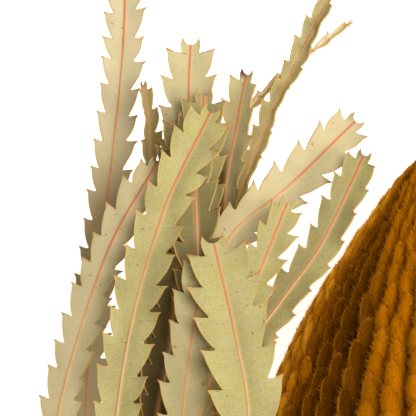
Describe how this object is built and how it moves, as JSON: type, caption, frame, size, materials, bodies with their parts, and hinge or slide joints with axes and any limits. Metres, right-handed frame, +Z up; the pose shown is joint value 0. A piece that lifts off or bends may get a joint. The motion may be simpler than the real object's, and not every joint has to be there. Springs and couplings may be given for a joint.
{
  "type": "banksia cone",
  "caption": "Dried banksia flower head of packed golden florets on a forked woody stem with long saw-toothed leaves, lying on its side.",
  "frame": {"origin": "on the small flat spot under the flower head that the part rests on", "axes": "+Z up from the surface, +Y from the cut stem towards the tip of the head, +X to the right seen from above with the tip away"},
  "size_m": [0.2241, 0.2429, 0.0897],
  "materials": {
    "florets": "velvety, matt",
    "bark": "rough, matt",
    "leaf": "dry, leathery, satin"
  },
  "bodies": {
    "root": {"flower_head": "florets", "stem": "bark", "leaf_front_right": "leaf", "leaf_front_middle": "leaf", "leaf_front_left": "leaf", "leaf_left": "leaf", "leaf_far_left": "leaf", "leaf_behind_left": "leaf", "leaf_dark_left": "leaf", "leaf_dark_middle": "leaf", "leaf_low_middle": "leaf", "leaf_inner": "leaf", "leaf_broad": "leaf", "leaf_curled": "leaf", "leaf_brown_tip": "leaf", "leaf_long_right": "leaf", "leaf_thin_right": "leaf", "leaf_wide_right": "leaf", "leaf_short_right": "leaf", "leaf_edge_right": "leaf", "leaf_beside_head": "leaf", "leaf_over_head": "leaf", "leaf_ground_right": "leaf", "leaf_spread_right": "leaf", "leaf_low_right": "leaf", "leaf_under_stem": "leaf", "leaf_back_left": "leaf", "leaf_back_low": "leaf"}
  },
  "joints": []
}
